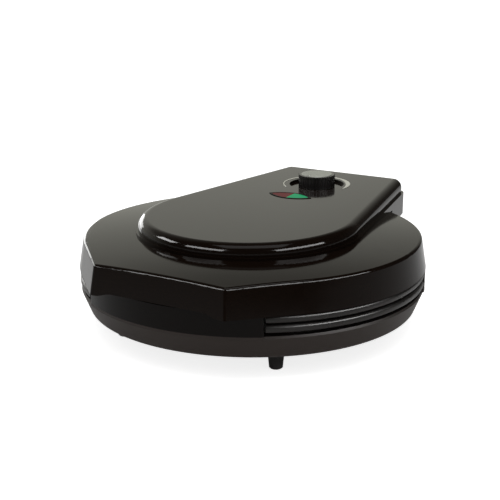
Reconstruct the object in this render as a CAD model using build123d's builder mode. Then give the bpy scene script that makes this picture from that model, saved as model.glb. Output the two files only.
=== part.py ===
from build123d import *
import math
import os

os.makedirs("parts", exist_ok=True)

# An electric pizza maker: a round base with a lower baking plate, a hinged lid with an upper
# plate, and a raised control cover with a knob and two lamps. Millimetres, +Z up, front is -Y.

# Overall form
body_radius = 165.0
rear_overhang = 40.0
rear_reach = body_radius + rear_overhang
body_y = (body_radius - rear_reach) / 2.0
facet_angle = 22.5
corner_round = 3.4
shell = 2.5
gap = 0.3

# Heights above the table
cover_plate_bottom = 18.5
bowl_bottom = 20.0
rim_top = 42.0
lower_bead_bottom = 44.6
lower_bead_top = 52.0
upper_bead_bottom = 53.2
lid_bottom = 60.7
lid_crown = 96.0
panel_step = 94.8
panel_front_top = 105.5
panel_rise = 3.6

# Base bowl
rim_inset = 0.5
bowl_flare = 8.8
bowl_rim_radius = body_radius - rim_inset
bowl_bottom_radius = bowl_rim_radius - bowl_flare
bowl_edge_round = 4.0
rim_chamfer = 2.0
rim_width = 7.0
seat_width = 8.0
flange_width = 43.7
lip_width = 7.0
seat_outer = bowl_rim_radius - rim_width
seat_inner = seat_outer - seat_width
flange_inner = bowl_bottom_radius - flange_width
lip_inner = body_radius - lip_width
lip_half_angle = 33.5
rear_lip_angle = 106.0
lip_end_round = 3.2
scoop_rise = 3.5
scoop_flat = 46.0
scoop_reach = 64.0
scoop_gap = 0.6

# Baking plates
mouth_lap = 0.5
mouth_flare = 2.0
chamber_mouth = seat_inner + mouth_lap
chamber_radius = chamber_mouth - mouth_flare
plate_wall = 3.0
lower_floor = 41.0
upper_ceiling = 63.0
bead_inset = 0.6
bead_radius = body_radius - bead_inset
bead_round = 3.2
plate_boss_radius = 5.0
plate_boss_height = 6.0
lower_boss_inset = 11.5
lower_boss_reach = seat_inner - lower_boss_inset
centre_boss_radius = 6.0
centre_boss_height = 9.0

# Heating elements and reflectors
element_tube = 3.25
element_gap = 0.05
element_leg_x = 16.0
element_leg_reach = 26.0
reflector_inset = 14.0
element_inset = 22.0
upper_boss_inset = 14.0
reflector_radius = lower_boss_reach - reflector_inset
element_ring = reflector_radius - element_inset
upper_boss_reach = element_ring - upper_boss_inset
sheet = 0.8

# Screws
screw_shank = 2.0
screw_head = 3.6
screw_head_height = 2.2
screw_clear = 0.05
plate_screw_count = 3

# Feet
foot_side_inset = 74.7
foot_front_inset = 55.7
foot_rear_inset = 41.7
foot_x = bowl_bottom_radius - foot_side_inset
front_foot_y = foot_front_inset - bowl_bottom_radius
rear_foot_y = bowl_bottom_radius - foot_rear_inset
foot_top_radius = 7.75
foot_bottom_radius = 6.0
foot_recess_radius = 4.2
foot_recess = 6.0
foot_edge = 1.0

# Lid
lid_draft = 6.9
lid_draft_height = 40.0
lid_edge_round = 3.0
dome_radius = 1707.0
wire_slot_length = 30.0
wire_slot_width = 14.0
wire_slot_y = 20.0

# Control cover
panel_arc = 108.4
panel_arc_y = -5.0
panel_side_angle = 10.5
panel_corner = 13.0
skirt_step = 2.5
panel_round = 9.0
side_wall_bottom = 72.0
shroud_bottom = 62.0
shroud_top = 80.0
lid_clear = 0.5
dome_margin = 35.0
dome_reach = body_radius + dome_margin

# Dial, knob and thermostat
dial_setback = 71.0
dial_y = rear_reach - dial_setback
well_radius = 28.5
well_depth = 2.75
ring_outer = 35.0
ring_inner = 33.0
ring_widest = 30.4
ring_height = 0.8
ring_proud = 0.25
ring_start = -16.0
ring_sweep = 246.0
knob_radius = 19.0
knob_height = 12.8
knob_gap = 0.5
knob_flutes = 40
flute_radius = 1.1
cap_radius = 16.0
cap_thickness = 0.8
cap_recess = 0.5
pointer_width = 2.4
pointer_length = 7.0
pointer_angle = -102.0
spindle_radius = 3.0
spindle_seat = 4.0
spindle_grip = 7.0
spindle_fit = 0.05
thermostat_width = 34.0
thermostat_length = 26.0
thermostat_height = 9.0
thermostat_gap = 0.3
bracket_rise = 0.7
bracket_length = 50.0
bracket_width = 16.0

# Lamp window
window_y = 75.0
window_half = 24.0
window_bulge = 11.0
bezel_width = 1.6
lens_top = 0.3
bezel_depth = 3.0
lens_gap = 0.1
lamp_x = 10.0
lamp_radius = 3.0

# Hinge
hinge_setback = 19.0
hinge_y = rear_reach - hinge_setback
arm_root = 12.5
knuckle_root = 11.5
knuckle_root_low = 9.5
hinge_z = 56.0
ear_inner = 48.0
ear_width = 10.0
ear_radius = 8.5
knuckle_inner = 36.0
knuckle_width = 11.0
knuckle_radius = 8.0
pin_radius = 2.5
pin_fit = 0.05
pin_inner = 34.0
pin_end = 60.0

# Cord inlet
gland_x = 0.0
gland_z = 31.0
gland_bore = 3.6
gland_body = 7.0
gland_collar = 9.5
gland_collar_length = 2.5
gland_length = 13.0
gland_y = body_radius
gland_pad = 10.5
gland_pad_start = gland_y - gland_length
block_length = 40.0
block_width = 14.0
block_height = 8.0
block_x = 36.0
block_gap = 3.0
block_y = reflector_radius + block_gap + block_width / 2.0

# Control cover screws
cover_screw_setback = 87.0
cover_screw_rear_y = rear_reach - cover_screw_setback
cover_screw_places = [(-70.0, -60.0), (70.0, -60.0), (-62.0, cover_screw_rear_y), (62.0, cover_screw_rear_y)]
boss_radius = 4.5
pilot_depth = 5.0
pilot_cap = 5.0

# Bottom cover
bottom_cover_inset = 9.7
bottom_screw_inset = 10.0
bottom_cover_radius = bowl_bottom_radius - bottom_cover_inset
bottom_screw_reach = flange_inner + bottom_screw_inset
vent_length = 30.0
vent_width = 3.0

axis_z = Axis((0, body_y, 0), (0, 0, 1))
panel_front_y = panel_arc_y - panel_arc
panel_tilt = math.atan(panel_rise / (rear_reach - panel_front_y))


def panel_height(y):
    return panel_front_top + (y - panel_front_y) * math.tan(panel_tilt)


def panel_level(offset, y, x=0.0):
    # A plane level with the sloping top of the control cover, moved out or in along its normal
    normal = (0.0, -math.sin(panel_tilt), math.cos(panel_tilt))
    foot = (x, body_y + y, panel_height(y))
    origin = tuple(foot[i] + normal[i] * offset for i in range(3))
    return Plane(origin=origin, x_dir=(1, 0, 0), z_dir=normal)


def level(height, x=0.0, y=0.0):
    return Plane(origin=(x, body_y + y, height))


def profile_plane():
    return Plane(origin=(0, body_y, 0), x_dir=(1, 0, 0), z_dir=(0, -1, 0))


def side_plane(x):
    return Plane(origin=(x, body_y, 0), x_dir=(0, 1, 0), z_dir=(1, 0, 0))


def inlet_plane(y):
    return Plane(origin=(gland_x, body_y + y, gland_z), x_dir=(1, 0, 0), z_dir=(0, 1, 0))


def save(part, label):
    part.label = label
    export_step(part, f"parts/{label}.step")


def ring_face(inner, outer, half_angle, centre_angle):
    # A sector of a ring, drawn about the body axis
    start = centre_angle - half_angle
    end = centre_angle + half_angle
    with BuildSketch() as face:
        with BuildLine():
            CenterArc((0, 0), outer, start, end - start)
            CenterArc((0, 0), inner, start, end - start)
            for angle in (start, end):
                near = (inner * math.cos(math.radians(angle)), inner * math.sin(math.radians(angle)))
                far = (outer * math.cos(math.radians(angle)), outer * math.sin(math.radians(angle)))
                Line(near, far)
        make_face()
    return face.sketch


def lid_outline(radius):
    # A circle whose front is squared off by three sides of the octagon round it
    corner = radius / math.cos(math.radians(facet_angle))
    start = math.radians(-90.0 + 2.0 * facet_angle)
    first = math.radians(-90.0 + facet_angle)
    with BuildSketch() as face:
        with BuildLine():
            CenterArc((0, 0), radius, -90.0 + 2.0 * facet_angle, 360.0 - 4.0 * facet_angle)
            right = (corner * math.cos(first), corner * math.sin(first))
            end = (radius * math.cos(start), radius * math.sin(start))
            Polyline((-end[0], end[1]), (-right[0], right[1]), right, end)
        make_face()
        fillet(face.vertices().group_by(Axis.Y)[0], corner_round)
    return face.sketch


def panel_outline(inset):
    # A front arc, two sides that close towards the rear, and a straight back
    radius = panel_arc - inset
    angle = math.radians(panel_side_angle)
    touch_x = radius * math.cos(angle)
    touch_y = panel_arc_y + radius * math.sin(angle)
    back = rear_reach - inset
    back_x = touch_x - (back - touch_y) * math.tan(angle)
    with BuildSketch() as face:
        with BuildLine():
            sweep = 180.0 + 2.0 * panel_side_angle
            CenterArc((0, panel_arc_y), radius, 180.0 - panel_side_angle, sweep)
            Polyline((touch_x, touch_y), (back_x, back), (-back_x, back), (-touch_x, touch_y))
        make_face()
        fillet(face.vertices().group_by(Axis.Y)[-1], panel_corner - inset)
    return face.sketch


def dome_arc(crown, reach):
    # Half of the lid's shallow spherical dome, from the edge to the axis, and the edge's height
    angle = math.degrees(math.asin(reach / dome_radius))
    CenterArc((0, crown - dome_radius), dome_radius, 90.0 - angle, angle)
    return crown - dome_radius + math.sqrt(dome_radius ** 2 - reach ** 2)


def dome_cutter(crown, reach):
    # Everything above the shallow dome of the lid
    with BuildPart() as cutter:
        with BuildSketch(profile_plane()):
            with BuildLine():
                edge = dome_arc(crown, reach)
                Polyline((0, crown), (0, crown + 60.0), (reach, crown + 60.0), (reach, edge))
            make_face()
        revolve(axis=axis_z)
    return cutter.part


def dome_body(crown, reach, floor):
    # Everything under the dome, down to a flat floor
    with BuildPart() as body:
        with BuildSketch(profile_plane()):
            with BuildLine():
                edge = dome_arc(crown, reach)
                Polyline((0, crown), (0, floor), (reach, floor), (reach, edge))
            make_face()
        revolve(axis=axis_z)
    return body.part


def scoop_profile(offset, floor, side):
    # The grip's outline from the front, taken by the lid's edge and by the lip under it
    top = lid_bottom + offset
    with BuildSketch(profile_plane()) as face:
        with BuildLine():
            Spline(
                (-scoop_reach, top), (-scoop_flat, top + scoop_rise),
                tangents=[(1, 0), (1, 0)],
            )
            Line((-scoop_flat, top + scoop_rise), (scoop_flat, top + scoop_rise))
            Spline(
                (scoop_flat, top + scoop_rise), (scoop_reach, top),
                tangents=[(1, 0), (1, 0)],
            )
            Polyline((scoop_reach, top), (side, top), (side, floor), (-side, floor), (-side, top), (-scoop_reach, top))
        make_face()
    return face.sketch


def leaf(half, bulge):
    # The pointed oval of the lamp window
    with BuildSketch() as face:
        with BuildLine():
            ThreePointArc((-half, 0), (0, bulge), (half, 0))
            ThreePointArc((half, 0), (0, -bulge), (-half, 0))
        make_face()
    return face.sketch


def crescent():
    # The printed ring round the knob: thin on the left, swelling on the right, ending in a tip
    def at(radius, angle):
        return radius * math.cos(math.radians(angle)), radius * math.sin(math.radians(angle))

    tail = ring_start + ring_sweep
    with BuildSketch() as face:
        with BuildLine():
            CenterArc((0, 0), ring_outer, ring_start, ring_sweep)
            Spline(
                at(ring_outer, ring_start), at(ring_widest, 25.0), at(ring_inner - 1.0, 70.0),
                at(ring_inner, 120.0), at(ring_inner + 0.3, 180.0), at(ring_inner + 0.6, tail),
            )
            Line(at(ring_inner + 0.6, tail), at(ring_outer, tail))
        make_face()
    return face.sketch


def screw(x, y, bottom, length, label, up=True):
    # A pan head at the given height with its shank above it, or below it
    with BuildPart() as piece:
        with BuildSketch(level(bottom, x, y)):
            Circle(screw_head)
        extrude(amount=screw_head_height if up else -screw_head_height)
        chamfer(piece.faces().sort_by(Axis.Z)[0 if up else -1].edges(), 0.6)
        start = bottom + (screw_head_height if up else -screw_head_height)
        with BuildSketch(level(start, x, y)):
            Circle(screw_shank)
        extrude(amount=length if up else -length)
        with BuildSketch(level(bottom, x, y)):
            Rectangle(screw_head * 1.3, 0.8)
            Rectangle(0.8, screw_head * 1.3)
        extrude(amount=1.0 if up else -1.0, mode=Mode.SUBTRACT)
    save(piece.part, label)


def drill(x, y, bottom, height, radius):
    with BuildSketch(level(bottom, x, y)) as disc:
        Circle(radius)
    extrude(disc.sketch, amount=height, mode=Mode.SUBTRACT)


def post(x, y, bottom, height, radius):
    with BuildSketch(level(bottom, x, y)) as disc:
        Circle(radius)
    extrude(disc.sketch, amount=height)


def bore_in(plane, height, radius):
    with BuildSketch(plane) as disc:
        Circle(radius)
    extrude(disc.sketch, amount=height, mode=Mode.SUBTRACT)


def lower_screw_place(index):
    angle = math.radians(90.0 + 360.0 / plate_screw_count * (index + 0.5))
    return lower_boss_reach * math.cos(angle), lower_boss_reach * math.sin(angle)


def upper_screw_place(index):
    angle = math.radians(90.0 + 360.0 / plate_screw_count * index)
    return upper_boss_reach * math.cos(angle), upper_boss_reach * math.sin(angle)


def hinge_arm(x, width, radius, points, mode=Mode.ADD):
    with BuildSketch(side_plane(x)) as outline:
        with Locations((hinge_y, hinge_z)):
            Circle(radius)
        with BuildLine():
            Polyline(*points, close=True)
        make_face()
    extrude(outline.sketch, amount=width, mode=mode)


# Base housing: bowl wall, rim, plate seat, bottom flange, front and rear lips, hinge ears
plate_underside = lower_floor - plate_wall
pillar_top = plate_underside - plate_boss_height
feet = [(s * foot_x, y) for y in (front_foot_y, rear_foot_y) for s in (-1.0, 1.0)]
bottom_screws = [(0.0, -bottom_screw_reach), (-bottom_screw_reach, 0.0), (bottom_screw_reach, 0.0)]
with BuildPart() as base_housing:
    with BuildSketch(profile_plane()):
        with BuildLine():
            Polyline(
                (flange_inner, bowl_bottom),
                (bowl_bottom_radius, bowl_bottom),
                (bowl_rim_radius, rim_top),
                (seat_outer, rim_top),
                (seat_outer, lower_bead_bottom),
                (seat_inner, lower_bead_bottom),
                (seat_inner, rim_top - shell),
                (bowl_rim_radius - shell - 1.0, rim_top - shell),
                (bowl_bottom_radius - shell, bowl_bottom + shell),
                (flange_inner, bowl_bottom + shell),
                close=True,
            )
        make_face()
    revolve(axis=axis_z)
    bottom_edge = base_housing.edges().filter_by(GeomType.CIRCLE).group_by(Axis.Z)[0].sort_by(SortBy.RADIUS)[-1]
    fillet(bottom_edge, bowl_edge_round)
    rim_edge = [
        e for e in base_housing.edges().filter_by(GeomType.CIRCLE)
        if abs(e.radius - bowl_rim_radius) < 0.01
    ]
    chamfer(rim_edge, rim_chamfer)
    for index in range(plate_screw_count):
        x, y = lower_screw_place(index)
        post(x, y, bowl_bottom + shell, pillar_top - bowl_bottom - shell, plate_boss_radius)
    # front lip with the grip's outline, and rear lip
    with BuildPart(mode=Mode.PRIVATE) as lip_body:
        with BuildSketch(level(rim_top - rim_chamfer - 0.5)):
            add(ring_face(lip_inner, body_radius - 0.2, lip_half_angle, -90.0))
        extrude(amount=30.0)
        grip = extrude(scoop_profile(-scoop_gap, rim_top - 10.0, 140.0), amount=body_radius + 20.0,
                       mode=Mode.PRIVATE)
        add(grip, mode=Mode.INTERSECT)
        fillet(lip_body.edges().filter_by(Axis.Z), lip_end_round)
    add(lip_body.part)
    with BuildPart(mode=Mode.PRIVATE) as rear_lip_body:
        with BuildSketch(level(rim_top - rim_chamfer - 0.5)):
            add(ring_face(lip_inner, body_radius - 0.2, 180.0 - rear_lip_angle, 90.0))
        extrude(amount=lid_bottom - scoop_gap - rim_top + rim_chamfer + 0.5)
        fillet(rear_lip_body.edges().filter_by(Axis.Z), lip_end_round)
    add(rear_lip_body.part)
    for side in (-1.0, 1.0):
        left = ear_inner if side > 0 else -ear_inner - ear_width
        hinge_arm(left, ear_width, ear_radius, [
            (body_radius - arm_root, rim_top - 6.0), (hinge_y, hinge_z - ear_radius),
            (hinge_y, hinge_z), (hinge_y - 6.0, hinge_z + 6.0), (body_radius - arm_root, hinge_z + 3.0),
        ])
        with BuildSketch(side_plane(left)):
            with Locations((hinge_y, hinge_z)):
                Circle(pin_radius + pin_fit)
        extrude(amount=ear_width, mode=Mode.SUBTRACT)
    # screw holes and the inlet hole
    for index in range(plate_screw_count):
        x, y = lower_screw_place(index)
        drill(x, y, bowl_bottom, pillar_top - bowl_bottom, screw_shank + screw_clear)
        drill(x, y, bowl_bottom, screw_head_height + 0.3, screw_head + 0.2)
    for x, y in feet + bottom_screws:
        drill(x, y, bowl_bottom, shell, screw_shank + screw_clear)
    with BuildSketch(inlet_plane(gland_pad_start)):
        Circle(gland_pad)
    extrude(amount=gland_y - gland_pad_start)
    with BuildSketch(inlet_plane(gland_pad_start - 20.0)):
        Circle(gland_body + 0.05)
    extrude(amount=50.0, mode=Mode.SUBTRACT)
save(base_housing.part, "base_housing")

# Bottom cover
with BuildPart() as bottom_cover:
    with BuildSketch(level(cover_plate_bottom)):
        Circle(bottom_cover_radius)
        for x, y in feet + bottom_screws:
            with Locations((x, y)):
                Circle(screw_shank + screw_clear, mode=Mode.SUBTRACT)
        for index in range(plate_screw_count):
            with Locations(lower_screw_place(index)):
                Circle(screw_head + 0.4, mode=Mode.SUBTRACT)
        with PolarLocations(60.0, 8):
            SlotOverall(vent_length, vent_width, mode=Mode.SUBTRACT)
    extrude(amount=bowl_bottom - cover_plate_bottom)
save(bottom_cover.part, "bottom_cover")

# Feet and the screws that hold them
for index, (x, y) in enumerate(feet, start=1):
    with BuildPart() as foot:
        with BuildSketch(level(0.0, x, y)):
            Circle(foot_bottom_radius)
        with BuildSketch(level(cover_plate_bottom, x, y)):
            Circle(foot_top_radius)
        loft()
        chamfer(foot.faces().sort_by(Axis.Z)[0].edges(), foot_edge)
        drill(x, y, 0.0, foot_recess, foot_recess_radius)
        drill(x, y, 0.0, cover_plate_bottom, screw_shank + screw_clear)
    save(foot.part, f"foot_{index}")
    screw(x, y, foot_recess - screw_head_height, bowl_bottom + shell - foot_recess, f"foot_screw_{index}")
for index, (x, y) in enumerate(bottom_screws, start=1):
    screw(x, y, cover_plate_bottom - screw_head_height, bowl_bottom + shell - cover_plate_bottom,
          f"bottom_screw_{index}")

# Lower baking plate: a shallow dish with a rounded bead, cut back where the lips stand
with BuildPart() as lower_plate:
    with BuildSketch(profile_plane()) as face:
        with BuildLine():
            Polyline(
                (0, plate_underside),
                (seat_inner - 0.4, plate_underside),
                (seat_inner - 0.4, lower_bead_bottom),
                (bead_radius, lower_bead_bottom),
                (bead_radius, lower_bead_top),
                (chamber_mouth + 1.5, lower_bead_top),
                (chamber_radius - 4.0, lower_floor),
                (0, lower_floor),
                close=True,
            )
        make_face()
        fillet(face.vertices().group_by(Axis.X)[-1], bead_round)
    revolve(axis=axis_z)
    for index in range(plate_screw_count):
        x, y = lower_screw_place(index)
        post(x, y, pillar_top, plate_boss_height + 0.5, plate_boss_radius)
    post(0, 0, plate_underside - centre_boss_height, centre_boss_height + 0.5, centre_boss_radius)
    for index in range(plate_screw_count):
        x, y = lower_screw_place(index)
        drill(x, y, pillar_top, plate_boss_height, screw_shank + screw_clear)
    drill(0, 0, plate_underside - centre_boss_height, centre_boss_height, screw_shank + screw_clear)
    with BuildSketch(level(lower_bead_bottom - 1.0)):
        add(ring_face(lip_inner - 0.4, body_radius + 5.0, lip_half_angle + 0.3, -90.0))
        add(ring_face(lip_inner - 0.4, body_radius + 5.0, 180.3 - rear_lip_angle, 90.0))
    extrude(amount=lower_bead_top - lower_bead_bottom + 2.0, mode=Mode.SUBTRACT)
save(lower_plate.part, "lower_plate")

# Upper baking plate
plate_topside = upper_ceiling + plate_wall
upper_bead_top = lid_bottom - gap
with BuildPart() as upper_plate:
    with BuildSketch(profile_plane()) as face:
        with BuildLine():
            Polyline(
                (0, plate_topside),
                (seat_inner - 0.4, plate_topside),
                (seat_inner - 0.4, upper_bead_top),
                (bead_radius, upper_bead_top),
                (bead_radius, upper_bead_bottom),
                (chamber_mouth + 1.5, upper_bead_bottom),
                (chamber_radius - 4.0, upper_ceiling),
                (0, upper_ceiling),
                close=True,
            )
        make_face()
        fillet(face.vertices().group_by(Axis.X)[-1], bead_round)
    revolve(axis=axis_z)
    for index in range(plate_screw_count):
        x, y = upper_screw_place(index)
        post(x, y, plate_topside - 0.5, plate_boss_height + 0.5, plate_boss_radius)
    post(0, 0, plate_topside - 0.5, centre_boss_height + 0.5, centre_boss_radius)
    for index in range(plate_screw_count):
        x, y = upper_screw_place(index)
        drill(x, y, plate_topside, plate_boss_height, screw_shank + screw_clear)
    drill(0, 0, plate_topside, centre_boss_height, screw_shank + screw_clear)
    with BuildSketch(level(upper_bead_bottom - 1.0)):
        add(ring_face(lip_inner - 0.4, body_radius + 5.0, lip_half_angle + 0.3, -90.0))
        add(ring_face(lip_inner - 0.4, body_radius + 5.0, 180.3 - rear_lip_angle, 90.0))
    extrude(amount=upper_bead_top - upper_bead_bottom + 2.0, mode=Mode.SUBTRACT)
save(upper_plate.part, "upper_plate")


for index in range(plate_screw_count):
    x, y = lower_screw_place(index)
    screw(x, y, bowl_bottom + 0.3, pillar_top + plate_boss_height - bowl_bottom - 3.0,
          f"lower_plate_screw_{index + 1}")


def heating_element(height, direction, label):
    # An open ring of tube with two legs that turn towards the rear
    half_gap = math.asin(element_leg_x / element_ring)
    start = (element_leg_x, element_ring * math.cos(half_gap))
    reach = (element_leg_x, start[1] + element_leg_reach)
    with BuildPart() as element:
        with BuildLine(level(height)) as path:
            first = CenterArc(
                (0, 0), element_ring, 90.0 + math.degrees(half_gap), 360.0 - 2.0 * math.degrees(half_gap)
            )
        with BuildSketch(Plane(origin=path.line @ 0, z_dir=path.line % 0)):
            Circle(element_tube)
        sweep()
        for side in (-1.0, 1.0):
            with BuildSketch(Plane(
                origin=(side * start[0], body_y + start[1] - element_tube, height),
                x_dir=(1, 0, 0), z_dir=(0, 1, 0),
            )):
                Circle(element_tube)
            extrude(amount=reach[1] - start[1])
    save(element.part, label)


heating_element(plate_underside - element_tube - element_gap, -1.0, "lower_heating_element")
heating_element(plate_topside + element_tube + element_gap, 1.0, "upper_heating_element")


def reflector(bottom, label, plate_side):
    # A sheet dish round the element, notched where the legs leave it
    height = centre_boss_height
    start = bottom if plate_side > 0 else bottom - sheet
    wall_bottom = bottom if plate_side > 0 else bottom - height + 0.2
    with BuildPart() as dish:
        with BuildSketch(level(start)):
            Circle(reflector_radius)
            Circle(screw_shank + screw_clear, mode=Mode.SUBTRACT)
        extrude(amount=sheet)
        with BuildSketch(level(wall_bottom)):
            Circle(reflector_radius)
            Circle(reflector_radius - sheet, mode=Mode.SUBTRACT)
        extrude(amount=height + sheet - 0.2 if plate_side > 0 else height - 0.2)
        with BuildSketch(level(start + (sheet if plate_side > 0 else -height))):
            with Locations((0, reflector_radius)):
                Rectangle(element_leg_x * 2.0 + 12.0, 10.0)
        extrude(amount=height, mode=Mode.SUBTRACT)
        if plate_side < 0:
            for index in range(plate_screw_count):
                x, y = upper_screw_place(index)
                drill(x, y, start - 1.0, sheet + 2.0, plate_boss_radius + 0.5)
    save(dish.part, label)


lower_sheet = plate_underside - centre_boss_height - sheet
upper_sheet = plate_topside + centre_boss_height + sheet
reflector(lower_sheet, "lower_reflector", 1.0)
reflector(upper_sheet, "upper_reflector", -1.0)
screw(0, 0, lower_sheet - screw_head_height, 7.0, "lower_reflector_screw")
screw(0, 0, upper_sheet + screw_head_height, 7.0, "upper_reflector_screw", up=False)

# Cord inlet bush in the rear wall, and the terminal block inside it
with BuildPart() as cord_gland:
    with BuildSketch(inlet_plane(gland_y)):
        Circle(gland_collar)
    extrude(amount=gland_collar_length)
    fillet(cord_gland.faces().sort_by(Axis.Y)[-1].edges(), 0.8)
    with BuildSketch(inlet_plane(gland_y)):
        Circle(gland_body)
    extrude(amount=-gland_length)
    with BuildSketch(inlet_plane(gland_y + gland_collar_length)):
        Circle(gland_bore)
    extrude(amount=-gland_length - gland_collar_length, mode=Mode.SUBTRACT)
save(cord_gland.part, "cord_gland")

with BuildPart() as terminal_block:
    with BuildSketch(level(bowl_bottom + shell, block_x, block_y)):
        Rectangle(block_length, block_width)
    extrude(amount=block_height)
    fillet(terminal_block.edges().filter_by(Axis.Z), 1.5)
    with BuildSketch(level(bowl_bottom + shell + block_height, block_x, block_y)):
        with GridLocations(12.0, 7.0, 3, 2):
            Circle(2.0)
    extrude(amount=-4.0, mode=Mode.SUBTRACT)
save(terminal_block.part, "terminal_block")

# Hinge pins
for side, label in ((-1.0, "hinge_pin_left"), (1.0, "hinge_pin_right")):
    left = pin_inner if side > 0 else -pin_end
    with BuildPart() as pin:
        with BuildSketch(side_plane(left)):
            with Locations((hinge_y, hinge_z)):
                Circle(pin_radius)
        extrude(amount=pin_end - pin_inner)
        chamfer(pin.edges().filter_by(GeomType.CIRCLE), 0.4)
    save(pin.part, label)

# Lid housing: a drafted skirt under a shallow dome, scooped at the front for the fingers
drafted = body_radius - lid_draft
with BuildPart() as lid_housing:
    with BuildSketch(level(lid_bottom)):
        add(lid_outline(body_radius))
    with BuildSketch(level(lid_bottom + lid_draft_height)):
        add(lid_outline(drafted))
    loft(ruled=True)
    add(dome_cutter(lid_crown, dome_reach), mode=Mode.SUBTRACT)
    top_face = lid_housing.faces().sort_by(Axis.Z)[-1]
    fillet(top_face.edges(), lid_edge_round)
    with BuildPart(mode=Mode.PRIVATE) as hollow:
        with BuildSketch(level(lid_bottom - 0.01)):
            add(lid_outline(body_radius - shell))
        with BuildSketch(level(lid_bottom + lid_draft_height)):
            add(lid_outline(drafted - shell))
        loft(ruled=True)
        add(dome_cutter(lid_crown - shell, dome_reach), mode=Mode.SUBTRACT)
    add(hollow.part, mode=Mode.SUBTRACT)
    # seat ring that carries the upper plate's bosses
    for index in range(plate_screw_count):
        x, y = upper_screw_place(index)
        ceiling = lid_crown - shell - upper_boss_reach ** 2 / (2.0 * dome_radius) + 0.6
        start = plate_topside + plate_boss_height
        post(x, y, start, ceiling - start, plate_boss_radius)
    for side in (-1.0, 1.0):
        left = knuckle_inner if side > 0 else -knuckle_inner - knuckle_width
        hinge_arm(left, knuckle_width, knuckle_radius, [
            (hinge_y - knuckle_radius, hinge_z), (hinge_y + knuckle_radius, hinge_z),
            (hinge_y + knuckle_radius - 1.0, hinge_z + 12.0),
            (body_radius - knuckle_root, hinge_z + 28.0), (body_radius - knuckle_root_low, hinge_z + 10.0),
        ])
        with BuildSketch(side_plane(left)):
            with Locations((hinge_y, hinge_z)):
                Circle(pin_radius + pin_fit)
        extrude(amount=knuckle_width, mode=Mode.SUBTRACT)
    grip = extrude(scoop_profile(0.0, lid_bottom - 5.0, 140.0), amount=body_radius + 20.0, mode=Mode.PRIVATE)
    add(grip, mode=Mode.SUBTRACT)
    with BuildSketch(level(lid_crown - 8.0)):
        with Locations((0, wire_slot_y + 85.0)):
            SlotOverall(wire_slot_length, wire_slot_width)
    extrude(amount=10.0, mode=Mode.SUBTRACT)
    for x, y in cover_screw_places:
        drill(x, y, lid_crown - 10.0, 12.0, screw_shank + screw_clear)
    for index in range(plate_screw_count):
        x, y = upper_screw_place(index)
        drill(x, y, plate_topside + plate_boss_height, 40.0, screw_shank + screw_clear)
save(lid_housing.part, "lid_housing")
for index in range(plate_screw_count):
    x, y = upper_screw_place(index)
    seat = lid_crown - upper_boss_reach ** 2 / (2.0 * dome_radius) + 0.2
    screw(x, y, seat + screw_head_height, seat - plate_topside - 1.0, f"upper_plate_screw_{index + 1}", up=False)

# Control cover: a stepped skirt, a soft-edged sloping top, and walls that reach down behind the lid
def panel_slice(height):
    # All that lies above the sloping top, or above a plane parallel to it
    with BuildPart() as cutter:
        with BuildSketch(panel_level(height, 0.0)):
            Rectangle(600.0, 600.0)
        extrude(amount=60.0)
    return cutter.part


over = panel_height(rear_reach) + 10.0
with BuildPart() as control_cover:
    with BuildSketch(level(side_wall_bottom)):
        add(panel_outline(0.0))
    extrude(amount=panel_step - side_wall_bottom)
    with BuildSketch(level(panel_step)):
        add(panel_outline(skirt_step))
    extrude(amount=over - panel_step)
    add(panel_slice(0.0), mode=Mode.SUBTRACT)
    top_face = control_cover.faces().sort_by(Axis.Z)[-1]
    fillet(top_face.edges(), panel_round)
    # the inside
    with BuildPart(mode=Mode.PRIVATE) as inside:
        with BuildSketch(level(side_wall_bottom - 1.0)):
            add(panel_outline(shell + 2.0))
        extrude(amount=over - side_wall_bottom + 1.0)
        add(panel_slice(-shell), mode=Mode.SUBTRACT)
        fillet(inside.faces().sort_by(Axis.Z)[-1].edges(), panel_round - shell)
    add(inside.part, mode=Mode.SUBTRACT)
    # screw bosses, cut to the dome below with the rest
    for x, y in cover_screw_places:
        post(x, y, side_wall_bottom, panel_height(y) - 1.5 - side_wall_bottom, boss_radius)
    # the well under the knob
    with BuildSketch(panel_level(-well_depth - shell, dial_y)):
        Circle(well_radius + shell)
    extrude(amount=well_depth + shell - 0.5)
    # clear the lid: its dome, its edge and what stands behind it
    add(dome_body(lid_crown, body_radius + lid_clear, side_wall_bottom - 2.0), mode=Mode.SUBTRACT)
    # rear shroud over the hinge
    with BuildSketch(level(shroud_bottom, 0, rear_reach - shell / 2.0)):
        Rectangle(2.0 * (pin_end + 1.0), shell)
    extrude(amount=shroud_top - shroud_bottom)
    bore_in(panel_level(-well_depth, dial_y), well_depth + 2.0, well_radius)
    bore_in(panel_level(-well_depth - shell - 1.0, dial_y), 20.0, spindle_radius + 1.0)
    with BuildSketch(panel_level(ring_proud - ring_height, dial_y)):
        add(crescent())
    extrude(amount=2.0, mode=Mode.SUBTRACT)
    with BuildSketch(panel_level(1.0, window_y)):
        add(leaf(window_half - bezel_width, window_bulge - bezel_width))
    extrude(amount=-20.0, mode=Mode.SUBTRACT)
    with BuildSketch(panel_level(1.0, window_y)):
        add(leaf(window_half, window_bulge))
    extrude(amount=-1.0 - bezel_depth / 2.0, mode=Mode.SUBTRACT)
    for x, y in cover_screw_places:
        drill(x, y, lid_crown - 12.0, panel_height(y) - lid_crown + 12.0 - pilot_cap, screw_shank + screw_clear)
save(control_cover.part, "control_cover")

# Screws that hold the cover, driven from inside the lid
for index, (x, y) in enumerate(cover_screw_places, start=1):
    under = lid_crown - shell - (x * x + y * y) / (2.0 * dome_radius) - 0.2
    screw(x, y, under - screw_head_height, shell + pilot_depth, f"cover_screw_{index}")

# Silvered crescent round the knob, thickest on the right
with BuildPart() as dial_ring:
    with BuildSketch(panel_level(ring_proud - ring_height, dial_y)):
        add(crescent())
    extrude(amount=ring_height)
save(dial_ring.part, "dial_ring")

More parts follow.
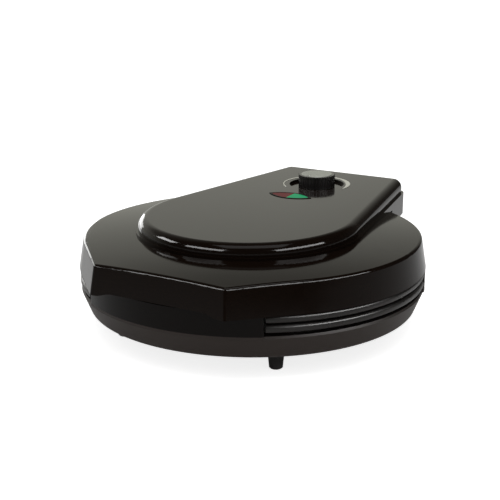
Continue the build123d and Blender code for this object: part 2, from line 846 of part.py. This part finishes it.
# Lamp window: a black leaf-shaped bezel, a red lens and a green lens
with BuildPart() as lamp_bezel:
    with BuildSketch(panel_level(-bezel_depth / 2.0, window_y)):
        add(leaf(window_half - lens_gap, window_bulge - lens_gap))
        add(leaf(window_half - bezel_width * 2.0, window_bulge - bezel_width), mode=Mode.SUBTRACT)
    extrude(amount=bezel_depth / 2.0 + lens_top + 0.2)
    with BuildSketch(panel_level(-bezel_depth - 0.7, window_y)):
        add(leaf(window_half - bezel_width - 0.2, window_bulge - bezel_width - 0.2))
        add(leaf(window_half - bezel_width * 3.4, window_bulge - bezel_width * 2.2), mode=Mode.SUBTRACT)
    extrude(amount=bezel_depth / 2.0 + 0.7)
save(lamp_bezel.part, "lamp_bezel")
for side, label in ((-1.0, "red_lens"), (1.0, "green_lens")):
    with BuildPart() as lens:
        with BuildSketch(panel_level(-bezel_depth / 2.0, window_y)):
            add(leaf(window_half - bezel_width * 2.0 - lens_gap, window_bulge - bezel_width - lens_gap))
            with Locations((side * (window_half / 2.0 + lens_gap / 2.0), 0)):
                Rectangle(window_half, window_bulge * 3.0, mode=Mode.INTERSECT)
        extrude(amount=bezel_depth / 2.0 + lens_top)
    save(lens.part, label)

# Neon lamps in a holder under the lenses
holder_bottom = lid_crown - window_y * window_y / (2.0 * dome_radius) + 0.3
holder_top = panel_height(window_y) - bezel_depth - 1.1
with BuildPart() as lamp_holder:
    with BuildSketch(level(holder_bottom, 0, window_y)):
        RectangleRounded(2.0 * lamp_x + 16.0, 14.0, 3.0)
    extrude(amount=holder_top - holder_bottom)
    for side in (-1.0, 1.0):
        with BuildSketch(level(holder_bottom + 2.0, 0, window_y)):
            with Locations((side * lamp_x, 0)):
                Circle(lamp_radius + 1.2)
        extrude(amount=holder_top - holder_bottom, mode=Mode.SUBTRACT)
save(lamp_holder.part, "lamp_holder")
for side, label in ((-1.0, "red_lamp"), (1.0, "green_lamp")):
    with BuildPart() as lamp:
        with BuildSketch(level(holder_bottom + 2.0, side * lamp_x, window_y)):
            Circle(lamp_radius)
        extrude(amount=holder_top - holder_bottom - 1.0)
        fillet(lamp.faces().sort_by(Axis.Z)[-1].edges(), lamp_radius - 0.6)
    save(lamp.part, label)

# Thermostat on its bracket, under the knob, square to the sloping top
well_floor = -well_depth
thermostat_top = well_floor - shell - thermostat_gap
thermostat_bottom = thermostat_top - thermostat_height
dial_dome = lid_crown - dial_y ** 2 / (2.0 * dome_radius)
bracket_bottom = dial_dome - panel_height(dial_y) + bracket_rise
with BuildPart() as thermostat_bracket:
    with BuildSketch(panel_level(bracket_bottom, dial_y)):
        RectangleRounded(bracket_length, bracket_width, 3.0)
    extrude(amount=thermostat_bottom - bracket_bottom)
save(thermostat_bracket.part, "thermostat_bracket")
knob_bottom = well_floor + knob_gap
spindle_bottom = thermostat_top - spindle_seat
with BuildPart() as thermostat:
    with BuildSketch(panel_level(thermostat_bottom, dial_y)):
        RectangleRounded(thermostat_width, thermostat_length, 3.0)
    extrude(amount=thermostat_height)
    with BuildSketch(panel_level(thermostat_top, dial_y)):
        Circle(spindle_radius + 0.8)
    extrude(amount=shell)
    bore_in(panel_level(spindle_bottom - 0.3, dial_y), 30.0, spindle_radius + spindle_fit)
save(thermostat.part, "thermostat")

# Spindle, knob and its metal cap
knob_top = knob_bottom + knob_height
with BuildPart() as thermostat_spindle:
    with BuildSketch(panel_level(spindle_bottom, dial_y)):
        Circle(spindle_radius)
    extrude(amount=knob_bottom + spindle_grip - spindle_bottom)
    with BuildSketch(panel_level(knob_bottom, dial_y)):
        with Locations((0, spindle_radius)):
            Rectangle(spindle_radius * 3.0, 2.0)
    extrude(amount=10.0, mode=Mode.SUBTRACT)
save(thermostat_spindle.part, "thermostat_spindle")

with BuildPart() as knob:
    with BuildSketch(panel_level(knob_bottom, dial_y)):
        Circle(knob_radius)
        with PolarLocations(knob_radius + 0.3, knob_flutes):
            Circle(flute_radius, mode=Mode.SUBTRACT)
    extrude(amount=knob_height)
    with BuildSketch(panel_level(knob_top, dial_y)):
        Circle(cap_radius + 0.05)
    extrude(amount=-cap_recess, mode=Mode.SUBTRACT)
    with BuildSketch(panel_level(knob_bottom, dial_y)):
        Circle(knob_radius - 3.0)
        Circle(spindle_radius + 3.0, mode=Mode.SUBTRACT)
    extrude(amount=knob_height - 4.0, mode=Mode.SUBTRACT)
    with BuildSketch(panel_level(knob_bottom, dial_y)):
        Circle(spindle_radius + 0.02)
        with Locations((0, spindle_radius + 0.02)):
            Rectangle(spindle_radius * 3.0, 2.0, mode=Mode.SUBTRACT)
    extrude(amount=spindle_grip, mode=Mode.SUBTRACT)
save(knob.part, "knob")

with BuildPart() as knob_cap:
    with BuildSketch(panel_level(knob_top - cap_recess, dial_y)):
        Circle(cap_radius)
    extrude(amount=cap_thickness)
    chamfer(knob_cap.faces().sort_by(Axis.Z)[-1].edges(), 0.25)
    with BuildSketch(panel_level(knob_top - cap_recess + cap_thickness, dial_y)):
        with Locations(Location((0, 0, 0), (0, 0, pointer_angle))):
            with Locations((cap_radius - pointer_length / 2.0, 0)):
                SlotOverall(pointer_length - 2.0, pointer_width)
    extrude(amount=-0.4, mode=Mode.SUBTRACT)
save(knob_cap.part, "knob_cap")
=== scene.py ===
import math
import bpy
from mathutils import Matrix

bl_info = {
    "name": "Pizza maker dressing",
    "version": (1, 1, 0),
    "blender": (4, 5, 0),
    "location": "View3D > Sidebar > Pizza maker",
    "description": "Gives the packed pizza maker its finishes, stage, light and camera",
    "category": "Object",
}

import bpy
import numpy as np
from mathutils import Vector

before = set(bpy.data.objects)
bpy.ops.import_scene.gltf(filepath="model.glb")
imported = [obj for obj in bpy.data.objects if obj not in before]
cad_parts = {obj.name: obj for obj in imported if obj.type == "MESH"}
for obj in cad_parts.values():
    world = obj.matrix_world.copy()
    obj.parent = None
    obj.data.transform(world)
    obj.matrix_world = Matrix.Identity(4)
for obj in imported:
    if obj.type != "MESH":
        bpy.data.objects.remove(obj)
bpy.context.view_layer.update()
MM = 0.001

# The round body's axis stands at this Y, in front of the frame's origin, as the CAD has it, mm
BODY_Y = -20.0
# The bowl's satin ends at this height and the polished lips start, within a narrow band, mm
RIM_Z = 42.0
RIM_BAND = 0.6

# Nearly all of a noise texture lies between these two levels
NOISE_LOW, NOISE_HIGH = 0.3, 0.7
# Slow drift over a moulding: its size in mm, the noise levels where its tone ends, and the share
# of the tone and of the roughness that it takes or adds
DRIFT_MM = 45.0
DRIFT_LOW, DRIFT_HIGH = 0.35, 0.65
TONE_SHARE = 0.06
GLOSS_SHARE = 0.25
# The share of a metal's roughness that its marks take or add
MARK_SHARE = 0.3
# A mark pattern's scale along X, Y and Z: the same each way, or drawn out along X
EVEN = (1.0, 1.0, 1.0)
ROLLED = (0.05, 1.0, 1.0)
BRUSHED = (0.03, 1.0, 1.0)

# The base's two finishes: roughness, and the strength of the mould grain
SATIN_ROUGHNESS, POLISHED_ROUGHNESS = 0.42, 0.12
SATIN_RELIEF, POLISHED_RELIEF = 1.0, 0.1
BLASTED_GRAIN_MM = 0.8
BLASTED_DEPTH_MM = 0.006
# The lenses' ribs, from crest to crest, mm, and the same for a diagonal wave texture of scale 1, m
RIB_MM = 3.265
WAVE_CREST = math.tau / (10.0 * math.sqrt(3.0))

# The studio that gloss shows: a white wall this way, the cosines of the angle from it where it
# ends and where it is whole, and the levels there; the heights of a direction between which the
# walls turn into the ceiling, and the ceiling's share of their level
WALL_WAY = (-0.87, 0.5, 0.0)
WALL_END, WALL_WHOLE = 0.4, 0.82
DARK_LEVEL, WALL_LEVEL = 0.06, 0.8
CEILING_START, CEILING_WHOLE = 0.36, 0.52
CEILING_SHARE = 0.4

# The floor: half its side in m, and its glow in reflections and straight to the camera
FLOOR_HALF = 6.0
FLOOR_GLOW_REFLECTED, FLOOR_GLOW_SEEN = 0.12, 0.8

# The front softboxes: name, degrees round from the front and width in m, and what they share:
# degrees up, distance, height and the height of the point they face and are set out from, m
FRONT_BOXES = (("box_left", -66.0, 0.5), ("box_front", -17.0, 0.8), ("box_right", 81.0, 1.1))
FRONT_BOX_RISE = 28.0
FRONT_BOX_DISTANCE = 1.2
FRONT_BOX_HEIGHT = 0.28
FRONT_BOX_AIM_Z = 0.1

# The camera, as fitted to the photograph: degrees round and up, its distance from a point on the
# body's axis and that point's height, m, and the focal length and shifts in the photograph's
# pixels. A sensor's width turns these into mm
CAMERA_AZIMUTH, CAMERA_ELEVATION = 30.0, 17.66
CAMERA_DISTANCE = 1.0794
CAMERA_AIM_Z = 0.042
FOCAL_LENGTH = 1114.3
SHIFT_RIGHT, SHIFT_UP = -2.8, 27.4
PHOTO_WIDTH = 500.0
SENSOR_MM = 36.0
# The camera sees this far, past the floor's far edge, m
VIEW_DEPTH = 50.0


def linear(hex_colour):
    """Turns an sRGB hex colour such as 5c5b56 into linear red, green, blue and alpha.

    Each part is divided by 12.92 up to 0.04045, and above that it gains 0.055, is divided by
    1.055 and goes to the power 2.4.
    """
    parts = [int(hex_colour[i : i + 2], 16) / 255.0 for i in (0, 2, 4)]
    flat = [p / 12.92 if p <= 0.04045 else ((p + 0.055) / 1.055) ** 2.4 for p in parts]
    return (*flat, 1.0)


def add_node(tree, kind, settings=(), links=(), **attributes):
    """Adds one shader node, sets its sockets and attributes, and links other outputs into it."""
    made = tree.nodes.new(kind)
    for name, value in attributes.items():
        setattr(made, name, value)
    for socket, value in dict(settings).items():
        made.inputs[socket].default_value = value
    for socket, output in dict(links).items():
        tree.links.new(output, made.inputs[socket])
    return made


def new_material(name):
    """Makes an empty node material and returns it with its tree."""
    material = bpy.data.materials.new(name)
    material.use_nodes = True
    material.node_tree.nodes.clear()
    return material, material.node_tree


def close_material(tree, shader):
    """Links a finished shader to the material's output."""
    add_node(tree, "ShaderNodeOutputMaterial", links={"Surface": shader.outputs[0]})


def scale_of(mark_mm):
    """Scale of a noise texture whose marks are about mark_mm across: 1 over that size in m."""
    return 1.0 / (mark_mm * MM)


def swing(middle, share):
    """Map Range settings that take noise to a middle value, and a share of it each way."""
    return {
        "From Min": NOISE_LOW, "From Max": NOISE_HIGH,
        "To Min": middle * (1.0 - share), "To Max": middle * (1.0 + share),
    }


def moulded_plastic(name, colour, ior, roughness, grain_mm, depth_mm):
    """Moulded plastic: a slow drift in tone and gloss, and the fine grain of its mould."""
    material, tree = new_material(name)
    place = add_node(tree, "ShaderNodeTexCoord").outputs["Object"]
    drift = add_node(
        tree, "ShaderNodeTexNoise", {"Scale": scale_of(DRIFT_MM), "Detail": 2.0},
        {"Vector": place},
    ).outputs["Fac"]
    grain = add_node(
        tree, "ShaderNodeTexNoise", {"Scale": scale_of(grain_mm), "Detail": 3.0},
        {"Vector": place},
    ).outputs["Fac"]
    tone = add_node(tree, "ShaderNodeValToRGB", links={"Fac": drift})
    positions = (DRIFT_LOW, DRIFT_HIGH)
    shades = (1.0 - TONE_SHARE, 1.0 + TONE_SHARE)
    for stop, position, shade in zip(tone.color_ramp.elements, positions, shades):
        stop.position = position
        stop.color = (*[part * shade for part in colour[:3]], 1.0)
    gloss = add_node(
        tree, "ShaderNodeMapRange", swing(roughness, GLOSS_SHARE), {"Value": drift},
    )
    bump = add_node(
        tree, "ShaderNodeBump", {"Strength": 1.0, "Distance": depth_mm * MM}, {"Height": grain},
    )
    shader = add_node(
        tree, "ShaderNodeBsdfPrincipled", {"IOR": ior},
        {"Base Color": tone.outputs["Color"], "Roughness": gloss.outputs["Result"],
         "Normal": bump.outputs["Normal"]},
    )
    close_material(tree, shader)
    return material


def base_plastic(name, bowl, lip, ior):
    """The base's one moulding: a satin bowl, with polished lips that start at the rim."""
    material, tree = new_material(name)
    place = add_node(tree, "ShaderNodeTexCoord").outputs["Object"]
    height = add_node(tree, "ShaderNodeSeparateXYZ", links={"Vector": place}).outputs["Z"]
    band = {"From Min": (RIM_Z - RIM_BAND / 2) * MM, "From Max": (RIM_Z + RIM_BAND / 2) * MM}
    polished = add_node(
        tree, "ShaderNodeMapRange", band, {"Value": height},
    ).outputs["Result"]
    grain = add_node(
        tree, "ShaderNodeTexNoise", {"Scale": scale_of(BLASTED_GRAIN_MM), "Detail": 3.0},
        {"Vector": place},
    ).outputs["Fac"]
    colour = add_node(tree, "ShaderNodeValToRGB", links={"Fac": polished})
    colour.color_ramp.elements[0].color = bowl
    colour.color_ramp.elements[1].color = lip
    gloss = add_node(
        tree, "ShaderNodeMapRange", {"To Min": SATIN_ROUGHNESS, "To Max": POLISHED_ROUGHNESS},
        {"Value": polished},
    )
    relief = add_node(
        tree, "ShaderNodeMapRange", {"To Min": SATIN_RELIEF, "To Max": POLISHED_RELIEF},
        {"Value": polished},
    )
    bump = add_node(
        tree, "ShaderNodeBump", {"Distance": BLASTED_DEPTH_MM * MM},
        {"Height": grain, "Strength": relief.outputs["Result"]},
    )
    shader = add_node(
        tree, "ShaderNodeBsdfPrincipled", {"IOR": ior},
        {"Base Color": colour.outputs["Color"], "Roughness": gloss.outputs["Result"],
         "Normal": bump.outputs["Normal"]},
    )
    close_material(tree, shader)
    return material


def metal(name, colour, roughness, mark_mm, stretch, depth_mm):
    """Metal with fine marks: drawn out along one axis where it is brushed or rolled, else even."""
    material, tree = new_material(name)
    place = add_node(tree, "ShaderNodeTexCoord").outputs["Object"]
    drawn = add_node(tree, "ShaderNodeMapping", {"Scale": stretch}, {"Vector": place})
    marks = add_node(
        tree, "ShaderNodeTexNoise", {"Scale": scale_of(mark_mm), "Detail": 4.0},
        {"Vector": drawn.outputs["Vector"]},
    ).outputs["Fac"]
    gloss = add_node(
        tree, "ShaderNodeMapRange", swing(roughness, MARK_SHARE), {"Value": marks},
    )
    bump = add_node(
        tree, "ShaderNodeBump", {"Strength": 1.0, "Distance": depth_mm * MM}, {"Height": marks},
    )
    shader = add_node(
        tree, "ShaderNodeBsdfPrincipled", {"Base Color": linear(colour), "Metallic": 1.0},
        {"Roughness": gloss.outputs["Result"], "Normal": bump.outputs["Normal"]},
    )
    close_material(tree, shader)
    return material


def smooth_lens(name, colour, painted_glow):
    """Smooth acrylic or glass with faint moulded ribs, and a painted glow that stands for light in
    it.
    """
    material, tree = new_material(name)
    place = add_node(tree, "ShaderNodeTexCoord").outputs["Object"]
    ribs = add_node(
        tree, "ShaderNodeTexWave", {"Scale": WAVE_CREST / (RIB_MM * MM)}, {"Vector": place},
        bands_direction="DIAGONAL",
    )
    bump = add_node(
        tree, "ShaderNodeBump", {"Strength": 0.4, "Distance": 0.05 * MM},
        {"Height": ribs.outputs["Fac"]},
    )
    # the emission is a painted glow in the lens's own colour: the lens is no lamp
    shader = add_node(
        tree, "ShaderNodeBsdfPrincipled",
        {"Base Color": colour, "Roughness": 0.12, "IOR": 1.06,
         "Emission Color": colour, "Emission Strength": painted_glow},
        {"Normal": bump.outputs["Normal"]},
    )
    close_material(tree, shader)
    return material


def dress(material, *starts):
    """Gives a material to the CAD nodes whose names start with any of the words given.

    A later call wins, so a cap, bracket or screw is dressed after what shares its first word.
    """
    found = [piece for name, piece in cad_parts.items() if name.startswith(starts)]
    if not found:
        raise RuntimeError(f"no node starts with {starts}")
    for piece in found:
        piece.data.materials.clear()
        piece.data.materials.append(material)


def colour_property(name, description, hex_colour):
    """A colour that a user can change, from an sRGB hex default."""
    return bpy.props.FloatVectorProperty(
        name=name, description=description, subtype="COLOR", size=4, min=0.0, max=1.0,
        default=linear(hex_colour),
    )


class PIZZA_PG_finish(bpy.types.PropertyGroup):
    casing: colour_property("Lid", "Colour of the lid's glossy plastic", "130c08")
    cover: colour_property("Cover", "Colour of the control cover's glossy plastic", "140d09")
    bowl: colour_property("Bowl", "Colour of the satin bowl", "38322f")
    lip: colour_property("Lips", "Colour of the polished lips of the base", "0c0806")
    coat: colour_property("Coat", "Colour of the baking plates' non-stick coat", "1f1c1a")
    red: colour_property("Red lens", "Colour of the left lens", "5c0c14")
    green: colour_property("Green lens", "Colour of the right lens", "008a58")


class PIZZA_PG_light(bpy.types.PropertyGroup):
    world: bpy.props.FloatProperty(
        name="World", description="Strength of the even light", default=0.45, min=0.0,
    )
    key: bpy.props.FloatProperty(
        name="Key", description="Power of the top softbox", default=8.0, min=0.0, unit="POWER",
    )
    boxes: bpy.props.FloatProperty(
        name="Front boxes", description="Radiance of the three front softboxes",
        default=24.0, min=0.0,
    )
    side: bpy.props.FloatProperty(
        name="Side box", description="Radiance of the low left softbox", default=4.4, min=0.0,
    )


class PIZZA_OT_casings(bpy.types.Operator):
    """Finishes the lid, the control cover, the base and its bottom cover"""

    bl_idname = "pizza.casings"
    bl_label = "Casings"

    def execute(self, context):
        finish = context.scene.pizza_finish
        # injection-moulded ABS from a polished mould: near black, with clear reflections. Its
        # IOR stands under the usual 1.5, so that they are as dim as the photograph's
        polished = {"roughness": 0.09, "grain_mm": 1.2, "depth_mm": 0.0006}
        dress(moulded_plastic("glossy_abs_lid", finish.casing, ior=1.20, **polished), "lid_housing")
        # the same ABS, a touch clearer in its reflections
        dress(
            moulded_plastic("glossy_abs_cover", finish.cover, ior=1.21, **polished),
            "control_cover",
        )
        # phenolic, satin from a fine-blasted mould, with its lips polished
        dress(
            base_plastic("satin_phenolic_base", finish.bowl, finish.lip, ior=1.19),
            "base_housing",
        )
        # the same satin phenolic, blasted all over
        dress(
            moulded_plastic(
                "satin_phenolic_cover", linear("252120"), ior=1.45, roughness=0.38,
                grain_mm=BLASTED_GRAIN_MM, depth_mm=BLASTED_DEPTH_MM,
            ),
            "bottom_cover",
        )
        return {"FINISHED"}


class PIZZA_OT_baking(bpy.types.Operator):
    """Finishes the baking plates, the elements and the reflectors behind them"""

    bl_idname = "pizza.baking"
    bl_label = "Baking plates"

    def execute(self, context):
        coat = context.scene.pizza_finish.coat
        # cast aluminium under a dark non-stick coat, with a slight orange peel
        dress(
            moulded_plastic(
                "nonstick_coat", coat, ior=1.35, roughness=0.34, grain_mm=1.6, depth_mm=0.006,
            ),
            "lower_plate", "upper_plate",
        )
        # element sheath: heat-darkened steel, dull
        dress(
            metal(
                "oxidised_sheath", "4d4845", roughness=0.5, mark_mm=0.9, stretch=EVEN,
                depth_mm=0.01,
            ),
            "lower_heating_element", "upper_heating_element",
        )
        # aluminised steel sheet, with rolling marks along one way
        dress(
            metal(
                "aluminised_sheet", "b9bbb9", roughness=0.3, mark_mm=1.0, stretch=ROLLED,
                depth_mm=0.004,
            ),
            "lower_reflector", "upper_reflector",
        )
        return {"FINISHED"}


class PIZZA_OT_dial(bpy.types.Operator):
    """Finishes the knob, its cap and the crescent round it"""

    bl_idname = "pizza.dial"
    bl_label = "Dial"

    def execute(self, context):
        # ABS from a blasted mould: black with a soft sheen on the flutes
        dress(
            moulded_plastic(
                "knob_abs", linear("14100e"), ior=1.45, roughness=0.28, grain_mm=0.8,
                depth_mm=0.003,
            ),
            "knob",
        )
        # brushed aluminium, with streaks across it
        dress(
            metal(
                "brushed_aluminium", "a3a5a1", roughness=0.34, mark_mm=0.25, stretch=BRUSHED,
                depth_mm=0.003,
            ),
            "knob_cap",
        )
        # silver hot-foil print, smooth
        dress(
            metal(
                "silver_foil", "cfcfcb", roughness=0.28, mark_mm=0.6, stretch=EVEN,
                depth_mm=0.001,
            ),
            "dial_ring",
        )
        return {"FINISHED"}


class PIZZA_OT_window(bpy.types.Operator):
    """Finishes the lamp window: its bezel, lenses, lamps and their holder"""

    bl_idname = "pizza.window"
    bl_label = "Lamp window"

    def execute(self, context):
        finish = context.scene.pizza_finish
        # black ABS frame, darker and duller than the cover, as a thin line round the lenses
        dress(
            moulded_plastic(
                "bezel_abs", linear("0b0807"), ior=1.06, roughness=0.2, grain_mm=1.2,
                depth_mm=0.0006,
            ),
            "lamp_bezel",
        )
        # dyed acrylic lenses: the lamps are off, and a faint painted glow in the dye's colour
        # stands for light in the lenses
        dress(smooth_lens("red_acrylic", finish.red, painted_glow=0.15), "red_lens")
        dress(smooth_lens("green_acrylic", finish.green, painted_glow=0.35), "green_lens")
        # neon lamp glass, pale and smooth
        dress(smooth_lens("lamp_glass", linear("d9c7b4"), painted_glow=0.0), "red_lamp", "green_lamp")
        return {"FINISHED"}


class PIZZA_OT_fittings(bpy.types.Operator):
    """Finishes the feet, the gland, the insulators, the bracket, the pins and the screws"""

    bl_idname = "pizza.fittings"
    bl_label = "Fittings"

    def execute(self, context):
        # moulded rubber: dull, with a fine grain
        dress(
            moulded_plastic(
                "moulded_rubber", linear("161413"), ior=1.45, roughness=0.62, grain_mm=0.7,
                depth_mm=0.01,
            ),
            "foot_", "cord_gland",
        )
        # cream ceramic insulators, dull
        dress(
            moulded_plastic(
                "steatite_ceramic", linear("cfc8b8"), ior=1.5, roughness=0.5, grain_mm=0.9,
                depth_mm=0.01,
            ),
            "terminal_block", "thermostat", "lamp_holder",
        )
        # pressed steel bracket, with rolling marks
        dress(
            metal(
                "bracket_sheet", "b9bbb9", roughness=0.3, mark_mm=1.0, stretch=ROLLED,
                depth_mm=0.004,
            ),
            "thermostat_bracket",
        )
        # zinc-plated steel, pale and a little blue
        screws = [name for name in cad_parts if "screw" in name]
        dress(
            metal(
                "zinc_plated_steel", "c6c9cc", roughness=0.32, mark_mm=0.8, stretch=EVEN,
                depth_mm=0.004,
            ),
            "hinge_pin", "thermostat_spindle", *screws,
        )
        return {"FINISHED"}


def any_of(tree, *values):
    """Returns an output that is 1 where any of the values is 1."""
    found = values[0]
    for value in values[1:]:
        found = add_node(
            tree, "ShaderNodeMath", links={0: found, 1: value}, operation="MAXIMUM",
        ).outputs["Value"]
    return found


def add_floor(scene):
    """Adds a white floor that keeps the object's shadow."""
    near, far = -FLOOR_HALF, FLOOR_HALF
    corners = [(near, near, 0), (far, near, 0), (far, far, 0), (near, far, 0)]
    mesh = bpy.data.meshes.new("floor")
    mesh.from_pydata(corners, [], [(0, 1, 2, 3)])
    floor = bpy.data.objects.new("floor", mesh)
    scene.collection.objects.link(floor)
    # matt paper: it takes the shadow, looks white to the camera, and glows less in reflections
    material, tree = new_material("pale_floor")
    paper = add_node(
        tree, "ShaderNodeBsdfPrincipled",
        {"Base Color": linear("f6f6f5"), "Roughness": 0.9, "Specular IOR Level": 0.0},
    )
    path = add_node(tree, "ShaderNodeLightPath").outputs
    strength = add_node(
        tree, "ShaderNodeMapRange", {"To Min": FLOOR_GLOW_REFLECTED, "To Max": FLOOR_GLOW_SEEN},
        {"Value": path["Is Camera Ray"]},
    )
    white = add_node(
        tree, "ShaderNodeEmission", {"Color": linear("ffffff")},
        {"Strength": strength.outputs["Result"]},
    )
    both = add_node(
        tree, "ShaderNodeAddShader", links={0: paper.outputs[0], 1: white.outputs[0]},
    )
    shown = any_of(
        tree, path["Is Camera Ray"], path["Is Glossy Ray"], path["Is Transmission Ray"],
    )
    mixed = add_node(
        tree, "ShaderNodeMixShader",
        links={"Fac": shown, 1: paper.outputs[0], 2: both.outputs[0]},
    )
    close_material(tree, mixed)
    mesh.materials.append(material)


def add_world(scene, strength):
    """Adds the studio: even light, white to the camera, and walls and a ceiling for gloss."""
    world = bpy.data.worlds.new("studio")
    scene.world = world
    world.use_nodes = True
    tree = world.node_tree
    tree.nodes.clear()
    way = add_node(tree, "ShaderNodeTexCoord").outputs["Generated"]
    # the white wall stands at the back left, and the rest is dark
    toward = add_node(
        tree, "ShaderNodeVectorMath", {1: WALL_WAY}, {0: way}, operation="DOT_PRODUCT",
    )
    across = add_node(
        tree, "ShaderNodeMapRange",
        {"From Min": WALL_END, "From Max": WALL_WHOLE, "To Min": DARK_LEVEL, "To Max": WALL_LEVEL},
        {"Value": toward.outputs["Value"]},
    )
    # the ceiling is grey
    height = add_node(tree, "ShaderNodeSeparateXYZ", links={"Vector": way}).outputs["Z"]
    upward = add_node(
        tree, "ShaderNodeMapRange",
        {"From Min": CEILING_START, "From Max": CEILING_WHOLE,
         "To Min": 1.0, "To Max": CEILING_SHARE},
        {"Value": height},
    )
    level = add_node(
        tree, "ShaderNodeMath", links={0: across.outputs["Result"], 1: upward.outputs["Result"]},
        operation="MULTIPLY",
    )
    even = add_node(
        tree, "ShaderNodeBackground", {"Color": linear("ffffff"), "Strength": strength},
    )
    walls = add_node(
        tree, "ShaderNodeBackground", {"Color": linear("fffff2")},
        {"Strength": level.outputs["Value"]},
    )
    white = add_node(
        tree, "ShaderNodeBackground", {"Color": linear("ffffff"), "Strength": 1.0},
    )
    path = add_node(tree, "ShaderNodeLightPath").outputs
    glossy = add_node(
        tree, "ShaderNodeMixShader",
        links={"Fac": path["Is Glossy Ray"], 1: even.outputs[0], 2: walls.outputs[0]},
    )
    seen = any_of(tree, path["Is Camera Ray"], path["Is Transmission Ray"])
    mixed = add_node(
        tree, "ShaderNodeMixShader", links={"Fac": seen, 1: glossy.outputs[0], 2: white.outputs[0]},
    )
    add_node(tree, "ShaderNodeOutputWorld", links={"Surface": mixed.outputs[0]})


def area_light(name, place, target, size, power):
    """Adds a softbox at a place, turned to a target, all in metres and watts."""
    data = bpy.data.lights.new(name, "AREA")
    data.shape = "RECTANGLE"
    data.size, data.size_y = size
    data.energy = power
    lamp = bpy.data.objects.new(name, data)
    bpy.context.scene.collection.objects.link(lamp)
    lamp.location = place
    lamp.rotation_mode = "QUATERNION"
    lamp.rotation_quaternion = Vector(np.array(target) - np.array(place)).to_track_quat("-Z", "Y")
    return lamp


def direction(azimuth, elevation):
    """Unit vector from the object to a viewer: azimuth 0 is in front and 90 to the right.

    Its X is cos(elevation) sin(azimuth), its Y is -cos(elevation) cos(azimuth) and its Z is
    sin(elevation).
    """
    turn, rise = math.radians(azimuth), math.radians(elevation)
    flat = math.cos(rise)
    return np.array([flat * math.sin(turn), -flat * math.cos(turn), math.sin(rise)])


def box_power(radiance, size):
    """Power of a softbox of a given radiance: pi times the radiance times the area."""
    return radiance * math.pi * size[0] * size[1]


def add_lights(light):
    """Adds the top softbox, and four that only gloss shows: three in front and a low left one."""
    area_light(
        "top_box", place=(0.2, -0.3, 1.6), target=(0.0, 0.0, 0.05), size=(1.2, 0.9),
        power=light.key,
    )
    # these give the broken highlights along the rounded edges
    for name, azimuth, width in FRONT_BOXES:
        reach = direction(azimuth, FRONT_BOX_RISE) * FRONT_BOX_DISTANCE
        size = (width, FRONT_BOX_HEIGHT)
        box = area_light(
            name, place=reach + (0.0, 0.0, FRONT_BOX_AIM_Z), target=(0.0, -0.05, FRONT_BOX_AIM_Z),
            size=size, power=box_power(light.boxes, size),
        )
        box.visible_diffuse = False
    # this one shows in the lid's left facet
    size = (0.5, 0.35)
    box = area_light(
        "side_box", place=(-1.07, 0.6, 0.18), target=(0.0, 0.0, 0.07), size=size,
        power=box_power(light.side, size),
    )
    box.visible_diffuse = False


def add_camera(scene):
    """Adds the camera at the photograph's angle, aimed at the body's axis."""
    data = bpy.data.cameras.new("camera")
    data.sensor_width = SENSOR_MM
    data.lens = SENSOR_MM * FOCAL_LENGTH / PHOTO_WIDTH
    data.shift_x = SHIFT_RIGHT / PHOTO_WIDTH
    data.shift_y = SHIFT_UP / PHOTO_WIDTH
    data.clip_end = VIEW_DEPTH
    camera = bpy.data.objects.new("camera", data)
    scene.collection.objects.link(camera)
    back = direction(CAMERA_AZIMUTH, CAMERA_ELEVATION)
    camera.location = np.array([0.0, BODY_Y * MM, CAMERA_AIM_Z]) + back * CAMERA_DISTANCE
    camera.rotation_mode = "QUATERNION"
    camera.rotation_quaternion = Vector(-back).to_track_quat("-Z", "Y")
    scene.camera = camera


class PIZZA_OT_stage(bpy.types.Operator):
    """Adds the floor, the studio, the lights and the camera"""

    bl_idname = "pizza.stage"
    bl_label = "Stage"

    def execute(self, context):
        scene = context.scene
        scene.view_settings.view_transform = "Standard"
        add_floor(scene)
        add_world(scene, scene.pizza_light.world)
        add_lights(scene.pizza_light)
        add_camera(scene)
        return {"FINISHED"}


OPERATORS = (
    PIZZA_OT_casings,
    PIZZA_OT_baking,
    PIZZA_OT_dial,
    PIZZA_OT_window,
    PIZZA_OT_fittings,
    PIZZA_OT_stage,
)


class PIZZA_PT_panel(bpy.types.Panel):
    """Lists the steps that dress the part"""

    bl_idname = "PIZZA_PT_panel"
    bl_label = "Pizza maker"
    bl_space_type = "VIEW_3D"
    bl_region_type = "UI"
    bl_category = "Pizza maker"

    def draw(self, context):
        for step in OPERATORS:
            self.layout.operator(step.bl_idname)


CLASSES = (PIZZA_PG_finish, PIZZA_PG_light, *OPERATORS, PIZZA_PT_panel)


def register():
    for made in CLASSES:
        bpy.utils.register_class(made)
    bpy.types.Scene.pizza_finish = bpy.props.PointerProperty(type=PIZZA_PG_finish)
    bpy.types.Scene.pizza_light = bpy.props.PointerProperty(type=PIZZA_PG_light)


def unregister():
    del bpy.types.Scene.pizza_light
    del bpy.types.Scene.pizza_finish
    for made in reversed(CLASSES):
        bpy.utils.unregister_class(made)


def main():
    register()
    for step in OPERATORS:
        group, name = step.bl_idname.split(".")
        getattr(getattr(bpy.ops, group), name)()


if __name__ == "__main__":
    main()
